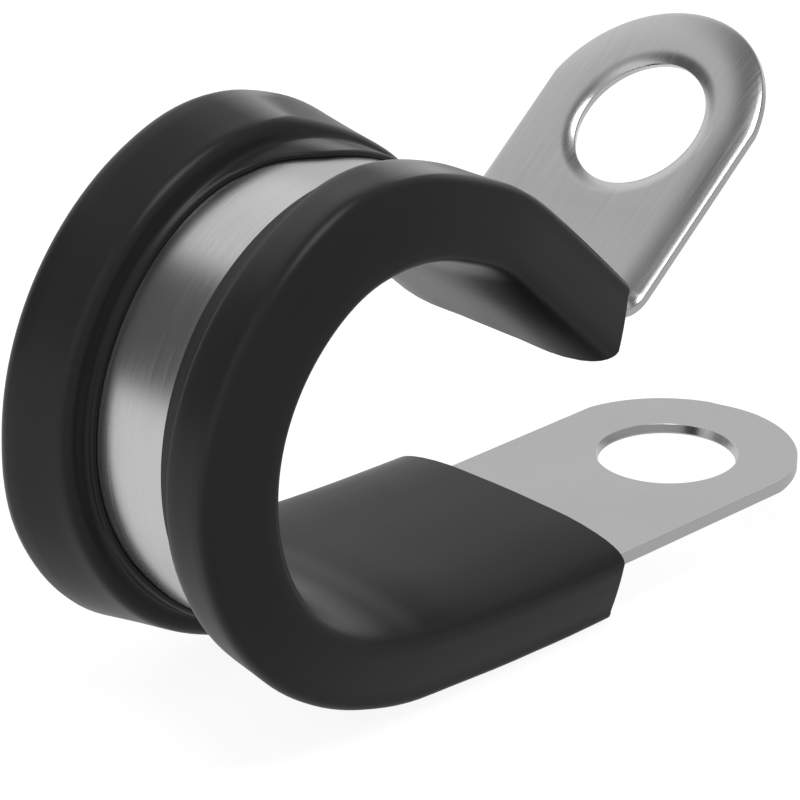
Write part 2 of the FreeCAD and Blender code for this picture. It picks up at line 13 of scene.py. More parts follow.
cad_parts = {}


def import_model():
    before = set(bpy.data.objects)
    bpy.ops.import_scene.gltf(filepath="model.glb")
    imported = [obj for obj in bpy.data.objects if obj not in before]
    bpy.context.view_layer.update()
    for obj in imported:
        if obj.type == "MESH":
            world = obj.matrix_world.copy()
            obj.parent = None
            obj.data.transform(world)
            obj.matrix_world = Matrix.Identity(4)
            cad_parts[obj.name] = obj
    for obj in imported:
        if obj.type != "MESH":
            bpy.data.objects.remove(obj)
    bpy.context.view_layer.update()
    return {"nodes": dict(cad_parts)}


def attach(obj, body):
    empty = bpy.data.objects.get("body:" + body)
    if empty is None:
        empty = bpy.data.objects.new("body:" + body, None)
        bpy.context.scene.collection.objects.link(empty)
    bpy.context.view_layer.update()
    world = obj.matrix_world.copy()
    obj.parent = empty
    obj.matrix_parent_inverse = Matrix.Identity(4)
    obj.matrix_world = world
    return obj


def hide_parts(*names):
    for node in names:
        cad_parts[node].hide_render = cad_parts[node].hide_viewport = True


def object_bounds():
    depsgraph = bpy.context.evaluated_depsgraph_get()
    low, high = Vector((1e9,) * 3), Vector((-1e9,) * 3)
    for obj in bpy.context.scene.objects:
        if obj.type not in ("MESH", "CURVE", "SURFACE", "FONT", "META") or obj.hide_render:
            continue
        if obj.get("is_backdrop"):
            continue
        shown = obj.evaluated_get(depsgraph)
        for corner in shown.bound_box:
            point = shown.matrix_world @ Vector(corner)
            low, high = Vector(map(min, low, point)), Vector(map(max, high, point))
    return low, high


log = logging.getLogger("clip")

MM = 0.001  # in metres
NEAR = 0.001 * MM  # points that are nearer than this lie together
SLACK = 0.01  # in millimetres

Colour = tuple[float, float, float]
Pair = tuple[float, float]
Corners = tuple[Pair, ...]


class Slot(Enum):
    """The record's material slots."""

    STEEL = "zinc_steel"
    RUBBER = "black_rubber"


class NodeBoard:
    """A material's or a group's node tree, with short calls to fill it."""

    def __init__(self, tree: bpy.types.NodeTree) -> None:
        """Keep the tree that gets the nodes."""
        self.tree = tree

    def add(self, kind: str, **settings: Any) -> bpy.types.Node:
        """Add a node and set its own properties.

        Args:
            kind: The node's type name.
            settings: Properties of the node, by name.

        Returns:
            The new node.
        """
        node = self.tree.nodes.new(kind)
        for name, value in settings.items():
            setattr(node, name, value)
        return node

    def feed(self, node: bpy.types.Node, socket: str | int, source: Any) -> None:
        """Link a socket to another node's output, or set its number.

        Args:
            node: The node that is fed.
            socket: Its input, by name or number.
            source: An output socket, a number or a colour.
        """
        if isinstance(source, bpy.types.NodeSocket):
            self.tree.links.new(source, node.inputs[socket])
        elif isinstance(source, tuple) and len(source) == 3 and node.inputs[socket].type == "RGBA":
            node.inputs[socket].default_value = (*source, 1.0)
        else:
            node.inputs[socket].default_value = source

    def maths(self, action: str, first: Any, second: Any = 0.0) -> Any:
        """Add a Math node.

        Args:
            action: Its operation.
            first: The first number or output.
            second: The second number or output.

        Returns:
            The node's output.
        """
        node = self.add("ShaderNodeMath", operation=action)
        self.feed(node, 0, first)
        self.feed(node, 1, second)
        return node.outputs[0]

    def ramp(self, source: Any, stops: list[Pair]) -> Any:
        """Map a value through a grey ramp.

        Args:
            source: The value's output.
            stops: Pairs of place and grey.

        Returns:
            The ramp's output.
        """
        node = self.add("ShaderNodeValToRGB")
        elements = node.color_ramp.elements
        while len(elements) < len(stops):
            elements.new(0.5)
        for element, (place, grey) in zip(elements, stops):
            element.position = place
            element.color = (grey, grey, grey, 1.0)
        self.feed(node, 0, source)
        return node.outputs[0]

    def noise(self, where: Any, scale: float, detail: float) -> Any:
        """Add a noise texture.

        Args:
            where: The coordinates.
            scale: Grains for each metre of the coordinates.
            detail: Octaves.

        Returns:
            The noise's value.
        """
        node = self.add("ShaderNodeTexNoise")
        self.feed(node, "Vector", where)
        self.feed(node, "Scale", scale)
        self.feed(node, "Detail", detail)
        return node.outputs["Fac"]

    def smooth(self, value: Any, low: Any, high: Any) -> Any:
        """Rise smoothly from 0 to 1 between two values.

        Args:
            value: The value's output.
            low: Where the rise starts.
            high: Where it ends.

        Returns:
            The share's output.
        """
        node = self.add("ShaderNodeMapRange", interpolation_type="SMOOTHSTEP")
        self.feed(node, "Value", value)
        self.feed(node, "From Min", low)
        self.feed(node, "From Max", high)
        return node.outputs[0]

    def mix(self, share: Any, first: Any, second: Any, colours: bool = True) -> Any:
        """Mix two colours, or two numbers.

        Args:
            share: How much of the second shows.
            first: The first colour, number or output.
            second: The second colour, number or output.
            colours: Whether they are colours.

        Returns:
            The mix's output.
        """
        kind, start, output = ("RGBA", 6, 2) if colours else ("FLOAT", 2, 0)
        node = self.add("ShaderNodeMix", data_type=kind)
        self.feed(node, 0, share)
        self.feed(node, start, first)
        self.feed(node, start + 1, second)
        return node.outputs[output]

    def blend(self, share: Any, first: Any, second: Any) -> Any:
        """Mix two brightnesses by the share of the second."""
        return self.mix(share, first, second, colours=False)

    def split(self, vector: Any) -> Any:
        """Split a vector into its X, Y and Z outputs."""
        node = self.add("ShaderNodeSeparateXYZ")
        self.feed(node, 0, vector)
        return node.outputs

    def place(self) -> Any:
        """Give the place on the object, in metres."""
        return self.add("ShaderNodeTexCoord").outputs["Object"]

    def facing(self) -> Any:
        """Give the surface's normal."""
        return self.add("ShaderNodeNewGeometry").outputs["Normal"]

    def group(self, kind: "EffectGroup", **numbers: float) -> bpy.types.Node:
        """Add a shared effect group.

        Args:
            kind: Which group.
            numbers: Its inputs, by name.

        Returns:
            The group's node.
        """
        node = self.add("ShaderNodeGroup", node_tree=shared_group(kind))
        for name, value in numbers.items():
            self.feed(node, name, value)
        return node


def new_material(name: str) -> tuple[bpy.types.Material, NodeBoard]:
    """Make an empty node material.

    Args:
        name: Its name.

    Returns:
        The material and its node board.
    """
    material = bpy.data.materials.new(name)
    material.use_nodes = True
    material.node_tree.nodes.clear()
    return material, NodeBoard(material.node_tree)


def close_material(board: NodeBoard, shader: Any) -> None:
    """Send a shader to the material's output."""
    output = board.add("ShaderNodeOutputMaterial")
    board.feed(output, "Surface", shader)


def shaded(colour: Colour, share: float) -> Colour:
    """Scale a colour's brightness."""
    return tuple(part * share for part in colour)


class EffectGroup(Enum):
    """Shared shader groups."""

    GRAIN = "surface_grain"
    WEAR = "edge_wear"
    # painted highlight: a pale colour over the top of the rubber lips that stands in for sheen from
    # light falling there
    PAINTED_TOP_SHEEN = "painted_top_sheen"


def new_group(kind: EffectGroup, inputs: dict[str, float], outputs: tuple[str, ...]) -> NodeBoard:
    """Start a shader group with named numbers in and out.

    Args:
        kind: The group that is made.
        inputs: The name and the default of each input.
        outputs: The name of each output.

    Returns:
        The group's node board.
    """
    tree = bpy.data.node_groups.new(kind.value, "ShaderNodeTree")
    for name, default in inputs.items():
        socket = tree.interface.new_socket(name, in_out="INPUT", socket_type="NodeSocketFloat")
        socket.default_value = default
    for name in outputs:
        tree.interface.new_socket(name, in_out="OUTPUT", socket_type="NodeSocketFloat")
    return NodeBoard(tree)


def shared_group(kind: EffectGroup) -> bpy.types.NodeTree:
    """Find a shared group, or make it at its first use.

    Args:
        kind: The wanted group.

    Returns:
        The group's node tree.
    """
    made = bpy.data.node_groups.get(kind.value)
    if made is not None:
        return made
    makers = {
        EffectGroup.GRAIN: make_grain,
        EffectGroup.WEAR: make_wear,
        EffectGroup.PAINTED_TOP_SHEEN: make_painted_sheen,
    }
    return makers[kind]()


def make_grain() -> bpy.types.NodeTree:
    """Make the grain group: fine grain that can be drawn out, and wide clouds."""
    names = {"Along": 1.0, "Across": 1.0, "Fine": 900.0, "Wide": 110.0}
    board = new_group(EffectGroup.GRAIN, names, ("Grain", "Cloud"))
    given = board.add("NodeGroupInput")
    place = board.place()
    parts = board.split(place)
    drawn = board.add("ShaderNodeCombineXYZ")
    for part, stretch in (("X", "Along"), ("Y", "Across"), ("Z", "Along")):
        board.feed(drawn, part, board.maths("MULTIPLY", parts[part], given.outputs[stretch]))
    result = board.add("NodeGroupOutput")
    board.feed(result, "Grain", board.noise(drawn.outputs[0], given.outputs["Fine"], detail=2.0))
    board.feed(result, "Cloud", board.noise(place, given.outputs["Wide"], detail=4.0))
    return board.tree


def make_wear() -> bpy.types.NodeTree:
    """Make the wear group: how much an outer edge has been rubbed."""
    board = new_group(EffectGroup.WEAR, {"Reach": 0.2 * MM, "Patches": 400.0}, ("Wear",))
    given = board.add("NodeGroupInput")
    rounded = board.add("ShaderNodeBevel", samples=4)
    board.feed(rounded, "Radius", given.outputs["Reach"])
    alike = board.add("ShaderNodeVectorMath", operation="DOT_PRODUCT")
    board.feed(alike, 0, rounded.outputs[0])
    board.feed(alike, 1, board.facing())
    even, sharp = 0.995, 0.93
    edge = board.smooth(alike.outputs["Value"], even, sharp)
    cloud = board.noise(board.place(), given.outputs["Patches"], detail=3.0)
    patch = board.ramp(cloud, [(0.3, 0.25), (0.65, 1.0)])
    result = board.add("NodeGroupOutput")
    board.feed(result, "Wear", board.maths("MULTIPLY", edge, patch))
    return board.tree


def make_painted_sheen() -> bpy.types.NodeTree:
    """Make the painted sheen group: a painted highlight that lightens the rubber over the top of
    the lips, where light falls on them.
    """
    names = {"Low": 0.014, "High": 0.0185, "Left": -0.03, "Right": 0.34}
    names |= {"Tilt": 0.915, "Flat": 0.956}
    board = new_group(EffectGroup.PAINTED_TOP_SHEEN, names, ("PaintedSheen",))
    given = board.add("NodeGroupInput")
    place = board.split(board.place())
    facing = board.split(board.facing())
    height, left, slope = (
        board.smooth(value, given.outputs[low], given.outputs[high])
        for value, low, high in (
            (place["Z"], "Low", "High"),
            (facing["X"], "Left", "Right"),
            (facing["Z"], "Tilt", "Flat"),
        )
    )
    result = board.add("NodeGroupOutput")
    # painted highlight mask: high on the clip, facing up and turned towards +X
    spread = board.maths("MULTIPLY", board.maths("MULTIPLY", height, left), slope)
    board.feed(result, "PaintedSheen", spread)
    return board.tree


@dataclass(frozen=True)
class Finish:
    """What both finishes share: clouds, rubbed edges and a fine relief."""

    tint: Colour
    uneven: Pair
    rubbed: float
    roughness: Pair
    relief: float
    relief_depth: float

    def tinted(self, board: NodeBoard, cloud: Any, wear: Any) -> Any:
        """Cloud the tint and brighten it where it is rubbed.

        Args:
            board: The material's node board.
            cloud: The clouds' output.
            wear: The wear's output.

        Returns:
            The colour's output.
        """
        dull, bright = (shaded(self.tint, share) for share in self.uneven)
        return board.mix(wear, board.mix(cloud, dull, bright), shaded(self.tint, self.rubbed))

    def surface(self, board: NodeBoard, tint: Any, rough: Any, height: Any) -> bpy.types.Node:
        """Add the surface's shader with its relief.

        Args:
            board: The material's node board.
            tint: The colour's output.
            rough: The roughness's output.
            height: The relief's output.

        Returns:
            The shader's node.
        """
        bump = board.add("ShaderNodeBump")
        board.feed(bump, "Strength", self.relief)
        board.feed(bump, "Distance", self.relief_depth * MM)
        board.feed(bump, "Height", height)
        shader = board.add("ShaderNodeBsdfPrincipled")
        board.feed(shader, "Base Color", tint)
        board.feed(shader, "Roughness", rough)
        board.feed(shader, "Normal", bump.outputs["Normal"])
        return shader


@dataclass(frozen=True)
class ZincSteel(Finish):
    """Satin zinc-plated strip steel with a faint rolling grain and rubbed edges."""

    tint: Colour = (0.58, 0.58, 0.585)
    uneven: Pair = (0.95, 1.04)
    rubbed: float = 1.12
    roughness: Pair = (0.20, 0.29)
    polish: float = -0.05
    relief: float = 0.03
    relief_depth: float = 0.02

    def make(self) -> bpy.types.Material:
        """Build the material.

        Returns:
            The new material.
        """
        material, board = new_material("zinc_steel_finish")
        grain = board.group(EffectGroup.GRAIN, Along=0.2, Across=6.0, Fine=900.0, Wide=120.0)
        wear = board.group(EffectGroup.WEAR, Reach=0.15 * MM, Patches=500.0).outputs["Wear"]
        tint = self.tinted(board, grain.outputs["Cloud"], wear)
        low, high = self.roughness
        drawn = board.ramp(grain.outputs["Grain"], [(0.2, low), (0.8, high)])
        rough = board.maths("ADD", drawn, board.maths("MULTIPLY", wear, self.polish))
        shader = self.surface(board, tint, rough, grain.outputs["Grain"])
        board.feed(shader, "Metallic", 1.0)
        close_material(board, shader.outputs[0])
        return material


@dataclass(frozen=True)
class BlackRubber(Finish):
    """Satin black moulded rubber with fine pores, rubbed edges and a painted pale highlight over
    the top of the lips.
    """

    tint: Colour = (0.0225, 0.0225, 0.023)
    # colour of the painted highlight on the tops of the lips
    pale: Colour = (0.29, 0.29, 0.29)
    uneven: Pair = (0.9, 1.12)
    rubbed: float = 1.5
    roughness: Pair = (0.30, 0.39)
    gloss: float = 0.24
    relief: float = 0.10
    relief_depth: float = 0.03

    def make(self) -> bpy.types.Material:
        """Build the material.

        Returns:
            The new material.
        """
        material, board = new_material("black_rubber_finish")
        grain = board.group(EffectGroup.GRAIN, Along=1.0, Across=1.0, Fine=2600.0, Wide=90.0)
        wear = board.group(EffectGroup.WEAR, Reach=0.25 * MM, Patches=300.0).outputs["Wear"]
        # painted highlight: the lip tops are mixed towards the pale colour to stand in for sheen
        painted_sheen = board.group(EffectGroup.PAINTED_TOP_SHEEN).outputs["PaintedSheen"]
        cloud = grain.outputs["Cloud"]
        tint = board.mix(painted_sheen, self.tinted(board, cloud, wear), self.pale)
        low, high = self.roughness
        rough = board.ramp(cloud, [(0.25, low), (0.75, high)])
        shader = self.surface(board, tint, rough, grain.outputs["Grain"])
        board.feed(shader, "Specular IOR Level", self.gloss)
        close_material(board, shader.outputs[0])
        return material


@dataclass(frozen=True)
class PaleFloor:
    """Pale table that is white to the camera and keeps a soft shadow.

    Behind the clip it is also white in reflections, and towards the front it is plain.
    """

    tint: Colour = (0.27, 0.27, 0.27)
    lift: float = 0.90
    mirror: float = 0.72
    front_mirror: float = 0.43
    fade: Pair = (-0.012, 0.020)

    def make(self) -> bpy.types.Material:
        """Build the material.

        Returns:
            The new material.
        """
        material, board = new_material("pale_floor")
        shade = board.add("ShaderNodeBsdfDiffuse")
        board.feed(shade, "Color", self.tint)
        behind = board.smooth(board.split(board.place())["Y"], *self.fade)
        rays = board.add("ShaderNodeLightPath").outputs
        straight = board.maths("MAXIMUM", rays["Is Camera Ray"], rays["Is Transmission Ray"])
        seen = board.maths("MULTIPLY", straight, self.lift)
        rise = board.maths("MULTIPLY", behind, self.mirror - self.front_mirror)
        share = board.maths("ADD", rise, self.front_mirror)
        mirrored = board.maths("MULTIPLY", rays["Is Glossy Ray"], share)
        seen = board.maths("MAXIMUM", seen, mirrored)
        white = board.add("ShaderNodeEmission")
        board.feed(white, "Color", (1.0, 1.0, 1.0))
        board.feed(white, "Strength", seen)
        both = board.add("ShaderNodeAddShader")
        board.feed(both, 0, shade.outputs[0])
        board.feed(both, 1, white.outputs[0])
        close_material(board, both.outputs[0])
        return material


@dataclass
class PhotoCamera:
    """The camera that the photograph was taken with, in millimetres and degrees."""

    azimuth: float = -44.659
    elevation: float = 24.038
    roll: float = -0.342
    distance: float = 310.70
    target: tuple[float, float, float] = (8.462, 0.0, -3.85)
    focal_pixels: float = 4324.61
    centre_pixels: Pair = (401.40, 411.36)
    frame_pixels: float = 800.0
    sensor: float = 36.0

    def build(self) -> bpy.types.Object:
        """Place the camera and make it the scene's.

        Returns:
            The camera.
        """
        turn = math.radians(self.azimuth)
        lift = math.radians(self.elevation)
        across = math.cos(lift)
        back = Vector((math.sin(turn) * across, -math.cos(turn) * across, math.sin(lift)))
        level = Vector((math.cos(turn), math.sin(turn), 0.0))
        upright = back.cross(level)
        roll = math.radians(self.roll)
        right = level * math.cos(roll) + upright * math.sin(roll)
        up = upright * math.cos(roll) - level * math.sin(roll)
        data = bpy.data.cameras.new("photo_camera")
        data.lens = self.focal_pixels / self.frame_pixels * self.sensor
        data.sensor_width = self.sensor
        data.shift_x = (self.frame_pixels / 2 - self.centre_pixels[0]) / self.frame_pixels
        data.shift_y = (self.centre_pixels[1] - self.frame_pixels / 2) / self.frame_pixels
        data.clip_start = 0.01
        data.clip_end = 20.0
        camera = bpy.data.objects.new("photo_camera", data)
        bpy.context.scene.collection.objects.link(camera)
        place = (Vector(self.target) + back * self.distance) * MM
        turned = Matrix((right, up, back)).transposed().to_4x4()
        camera.matrix_world = Matrix.Translation(place) @ turned
        bpy.context.scene.camera = camera
        return camera


@dataclass
class Lamp:
    """A soft rectangular lamp that faces the clip."""

    name: str
    place: tuple[float, float, float]
    size: Pair
    watts: float
    aim: tuple[float, float, float] = (0.008, 0.0, -0.002)

    def build(self) -> bpy.types.Object:
        """Hang the lamp.

        Returns:
            The lamp.
        """
        data = bpy.data.lights.new(self.name, "AREA")
        data.shape = "RECTANGLE"
        data.size, data.size_y = self.size
        data.energy = self.watts
        lamp = bpy.data.objects.new(self.name, data)
        bpy.context.scene.collection.objects.link(lamp)
        lamp.location = self.place
        away = Vector(self.place) - Vector(self.aim)
        lamp.rotation_mode = "QUATERNION"
        lamp.rotation_quaternion = away.to_track_quat("Z", "Y")
        return lamp


@dataclass(frozen=True)
class Tent:
    """A pale tent round the clip, with a dark card at its left and a grey roof."""

    wall: float = 0.96
    east: float = 0.72
    front: float = 0.45
    roof: float = 0.14
    card: float = 0.11
    card_azimuth: float = 128.0
    card_elevation: float = 24.5
    card_edge: Pair = (17.5, 31.5)
    roof_edge: Pair = (46.0, 62.0)
    east_edge: Pair = (0.44, 0.62)
    front_edge: Pair = (-0.25, 0.15)

    def make(self) -> bpy.types.World:
        """Build the world.

        Returns:
            The new world.
        """
        world = bpy.data.worlds.new("tent")
        world.use_nodes = True
        world.node_tree.nodes.clear()
        board = NodeBoard(world.node_tree)
        way = board.add("ShaderNodeTexCoord").outputs["Generated"]
        parts = board.split(way)
        level = board.maths("ARCSINE", parts["Z"])
        roof = board.smooth(level, *map(math.radians, self.roof_edge))
        aim = board.add("ShaderNodeVectorMath", operation="DOT_PRODUCT")
        board.feed(aim, 0, way)
        board.feed(aim, 1, self.card_way())
        off = board.maths("ARCCOSINE", aim.outputs["Value"])
        clear = board.smooth(off, *map(math.radians, self.card_edge))
        rear = board.smooth(parts["Y"], *self.front_edge)
        right = board.smooth(parts["X"], *self.east_edge)
        walls = board.blend(rear, self.front, board.blend(right, self.wall, self.east))
        bright = board.blend(roof, walls, self.roof)
        bright = board.blend(clear, self.card, bright)
        rays = board.add("ShaderNodeLightPath")
        bright = board.blend(rays.outputs["Is Camera Ray"], bright, 1.0)
        light = board.add("ShaderNodeBackground")
        board.feed(light, "Color", (1.0, 1.0, 1.0))
        board.feed(light, "Strength", bright)
        output = board.add("ShaderNodeOutputWorld")
        board.feed(output, "Surface", light.outputs[0])
        return world

    def card_way(self) -> tuple[float, float, float]:
        """Give the direction of the card's middle."""
        turn, lift = math.radians(self.card_azimuth), math.radians(self.card_elevation)
        across = math.cos(lift)
        return (math.cos(turn) * across, math.sin(turn) * across, math.sin(lift))


@dataclass
class Studio:
    """The floor, the surroundings and the lamps."""

    floor_size: float = 6.0
    lamps: tuple[Lamp, ...] = (
        Lamp("top_softbox", (-0.05, -0.10, 0.60), (0.30, 0.30), 1.35),
    )

    def build(self) -> None:
        """Set up the floor, the world and the lamps."""
        self.lay_floor()
        bpy.context.scene.world = Tent().make()
        for lamp in self.lamps:
            lamp.build()
        bpy.context.scene.view_settings.view_transform = "Standard"

    def lay_floor(self) -> None:
        """Lay the floor under the clip's lowest edge."""
        low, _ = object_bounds()
        bpy.ops.object.select_all(action="DESELECT")
        bpy.ops.mesh.primitive_plane_add(size=self.floor_size, location=(0.0, 0.0, low.z))
        floor = bpy.context.active_object
        floor.name = "floor"
        floor.data.materials.append(PaleFloor().make())
        floor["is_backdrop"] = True


@dataclass(frozen=True)
class Spot:
    """One corner of a section, in millimetres: its place across the strip and out from the axis."""

    across: float
    out: float
    follows: tuple[tuple[str, float], ...] = ()
    slides: str = ""

    def slid(self, guides: dict[str, "Guide"], mark: float) -> float:
        """Find the corner's place across the strip at a mark of the path."""
        return self.across + (guides[self.slides].at(mark) if self.slides else 0.0)

    def lifted(self, guides: dict[str, "Guide"], mark: float) -> float:
        """Find how far out the corner is at a mark of the path."""
        return self.out + sum(share * guides[name].at(mark) for name, share in self.follows)


@dataclass(frozen=True)
class Guide:
    """A height that changes smoothly along the path."""

    stops: Corners

    def at(self, mark: float) -> float:
        """Read the height at a place.

        Args:
            mark: The place on the path.

        Returns:
            The height in millimetres.
        """
        stops = self.stops
        if mark <= stops[0][0]:
            return stops[0][1]
        if mark >= stops[-1][0]:
            return stops[-1][1]
        after = next(i for i, stop in enumerate(stops) if stop[0] > mark)
        (x0, y0), (x1, y1) = stops[after - 1], stops[after]
        span = x1 - x0
        start, end = self.slope(after - 1) * span, self.slope(after) * span
        t = (mark - x0) / span
        return (
            y0 * (1 + 2 * t) * (1 - t) ** 2
            + start * t * (1 - t) ** 2
            + y1 * t * t * (3 - 2 * t)
            + end * t * t * (t - 1)
        )

    def slope(self, index: int) -> float:
        """Estimate the slope at a stop from its neighbours.

        Args:
            index: The stop's number.

        Returns:
            The slope.
        """
        low, high = max(index - 1, 0), min(index + 1, len(self.stops) - 1)
        (x0, y0), (x1, y1) = self.stops[low], self.stops[high]
        return (y1 - y0) / (x1 - x0)


@dataclass(frozen=True)
class Stop:
    """A place on the path: a point, the outward direction, the guides' mark and its lean."""

    base: Vector
    out: Vector
    mark: float = 0.0
    lean: Vector = field(default_factory=Vector)

    def spot(self, across: float, out: float) -> Vector:
        """Find a section corner's point in metres, by its place across and its distance out."""
        point = self.base + self.out * out + Vector((0.0, across, 0.0))
        return (point + self.lean * (ClipPath.middle - out)) * MM


class ClipPath:
    """The way of the strip: lower tab, lower leg, loop, upper leg, bend and upper tab.

    A place's mark is its angle round the loop from the lowest point, clockwise as seen from the
    front. It goes on by a fixed number for each millimetre of the legs.
    """

    middle = 16.7
    outer = 17.2
    thick = 1.0
    lower_turn = 270.0
    upper_turn = 45.0
    bend_at = 11.25
    bend_inside = 2.1
    bend_steps = 14
    tab_turn = 129.5
    loop_step = 2.5
    marks_each_mm = 3.0

    @staticmethod
    def outward(turn: float) -> Vector:
        """Find the outward direction at an angle, in degrees from +X towards +Z."""
        return Vector((math.cos(math.radians(turn)), 0.0, math.sin(math.radians(turn))))

    def lower_leg(self, x: float) -> Stop:
        """Find a place on the lower leg or tab, by its distance from the loop's axis."""
        out = self.outward(self.lower_turn)
        return Stop(Vector((x, 0.0, 0.0)), out, -x * self.marks_each_mm)

    def loop(self, turn: float) -> Stop:
        """Find a place on the loop, by its angle in degrees."""
        return Stop(Vector(), self.outward(turn), self.lower_turn - turn)

    def round_loop(self) -> list[Stop]:
        """List the places round the loop, from the lower leg to the upper one."""
        count = round((self.lower_turn - self.upper_turn) / self.loop_step)
        return [self.loop(self.lower_turn - self.loop_step * i) for i in range(count + 1)]

    def upper_leg(self, along: float, lean: float = 0.0) -> Stop:
        """Find a place on the upper leg.

        Args:
            along: Its distance from the loop.
            lean: How much an end there leans, as a slope.

        Returns:
            The place.
        """
        out = self.outward(self.upper_turn)
        mark = self.lower_turn - self.upper_turn + along * self.marks_each_mm
        return Stop(self.leg_way() * along, out, mark, self.leg_way() * lean)

    def leg_way(self) -> Vector:
        """Give the upper leg's direction, away from the loop."""
        return self.outward(self.upper_turn - 90.0)

    def bend(self, turn: float) -> Stop:
        """Find a place in the upper bend.

        Args:
            turn: The angle of its outward direction, in degrees.

        Returns:
            The place.
        """
        start = self.upper_leg(self.bend_at)
        radius = self.outer + self.bend_inside
        centre = start.base + start.out * radius
        out = self.outward(turn)
        return Stop(centre - out * radius, out)

    def round_bend(self) -> list[Stop]:
        """List the places through the upper bend, after its start."""
        turn = (self.tab_turn - self.upper_turn) / self.bend_steps
        return [self.bend(self.upper_turn + turn * (i + 1)) for i in range(self.bend_steps)]

    def upper_tab(self, along: float) -> Stop:
        """Find a place on the upper tab, by its distance from the bend."""
        start = self.bend(self.tab_turn)
        return Stop(start.base + self.tab_way() * along, start.out)

    def tab_way(self) -> Vector:
        """Give the upper tab's direction, away from the bend."""
        return self.outward(self.tab_turn - 90.0)


class Sweep:
    """A closed section that is extruded from place to place in edit mode."""

    def __init__(self, name: str, spots: list[Spot], guides: dict[str, Guide]) -> None:
        """Start from a filled circle with one corner for each spot.

        Args:
            name: The new object's name.
            spots: The section's corners, in order.
            guides: The heights that corners follow.
        """
        bpy.ops.object.select_all(action="DESELECT")
        bpy.ops.mesh.primitive_circle_add(vertices=len(spots), radius=MM, fill_type="NGON")
        self.piece = bpy.context.active_object
        self.piece.name = name
        self.spots = spots
        self.guides = guides
        bpy.ops.object.mode_set(mode="EDIT")
        bpy.context.tool_settings.mesh_select_mode = (True, False, False)
        self.ring = list(self.mesh().verts)

    def mesh(self) -> bmesh.types.BMesh:
        """Give the mesh in edit mode."""
        return bmesh.from_edit_mesh(self.piece.data)

    def place(self, stop: Stop) -> None:
        """Move the ring's corners to their points at a place.

        Args:
            stop: The place.
        """
        bpy.ops.mesh.select_all(action="DESELECT")
        for corner, spot in zip(self.ring, self.spots):
            across = spot.slid(self.guides, stop.mark)
            goal = stop.spot(across, spot.lifted(self.guides, stop.mark))
            corner.select = True
            bpy.ops.transform.translate(value=goal - corner.co)
            corner.select = False
        for corner in self.ring:
            corner.select = True
        self.mesh().select_flush(True)

    def carry(self, stop: Stop) -> None:
        """Extrude the section to the next place.

        Args:
            stop: The place.
        """
        count = len(self.mesh().verts)
        bpy.ops.mesh.extrude_region_move()
        corners = self.mesh().verts
        corners.ensure_lookup_table()
        self.ring = [corners[count + i] for i in range(len(self.spots))]
        self.place(stop)

    def close(self, flat: float) -> bpy.types.Object:
        """Leave edit mode with clean normals and smooth shading.

        Args:
            flat: The angle in degrees above which an edge stays sharp.

        Returns:
            The finished piece.
        """
        bpy.ops.mesh.select_all(action="SELECT")
        bpy.ops.mesh.remove_doubles(threshold=NEAR / 2)
        bpy.ops.mesh.normals_make_consistent(inside=False)
        bpy.ops.mesh.select_all(action="DESELECT")
        bpy.ops.object.mode_set(mode="OBJECT")
        bpy.ops.object.shade_smooth_by_angle(angle=math.radians(flat))
        return self.piece


